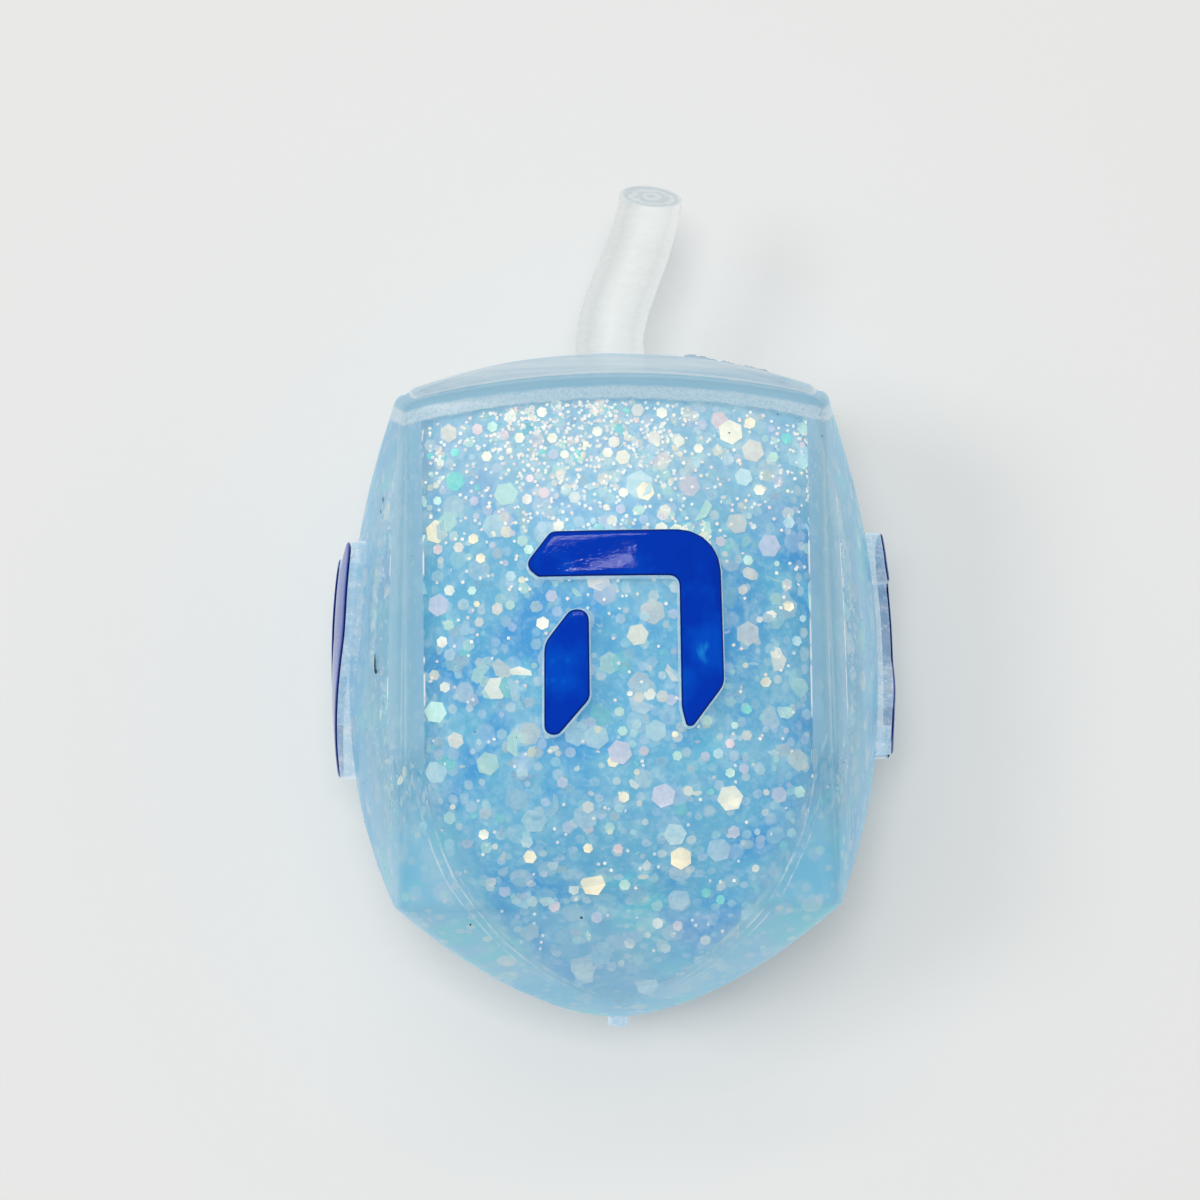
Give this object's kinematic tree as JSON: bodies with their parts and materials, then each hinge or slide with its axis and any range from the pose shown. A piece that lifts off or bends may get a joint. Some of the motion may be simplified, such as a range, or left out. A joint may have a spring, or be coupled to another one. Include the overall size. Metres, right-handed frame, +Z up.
{
  "type": "dreidel",
  "caption": "Soft see-through dreidel with raised letters, filled with liquid and glitter, and plugged by its bendable stem.",
  "frame": {"origin": "on the surface that the dreidel lies on, under the middle of its box", "axes": "+X to the right, +Y along the body's axis from the tip to the stem, +Z up out of the front letter"},
  "size_m": [0.063, 0.0948, 0.0619],
  "materials": {
    "blue_rubber": "glossy, soft, see-through, faintly blue",
    "blue_liquid": "sky blue see-through liquid",
    "clear_rubber": "soft, cloudy clear",
    "blue_paint": "glossy royal blue paint",
    "cream_glitter": "iridescent, cream to pink",
    "aqua_glitter": "iridescent, aqua to white",
    "lilac_glitter": "iridescent, lilac to white"
  },
  "bodies": {
    "shell": {"skin": "blue_rubber", "liquid_fill": "blue_liquid", "paint_hei": "blue_paint", "paint_gimel": "blue_paint", "paint_shin": "blue_paint", "paint_nun": "blue_paint", "glitter_large": "cream_glitter", "glitter_medium": "aqua_glitter", "glitter_small": "lilac_glitter"},
    "handle": {"stem": "clear_rubber"}
  },
  "joints": [
    {"name": "stem_bend", "type": "hinge", "parent": "shell", "child": "handle", "pos_m": [0, 0.0316, 0.03053], "axis": [0, 0, 1], "range_deg": [-30, 60], "stiffness_Nm_per_rad": 0.0125, "deforming": ["stem"]}
  ]
}
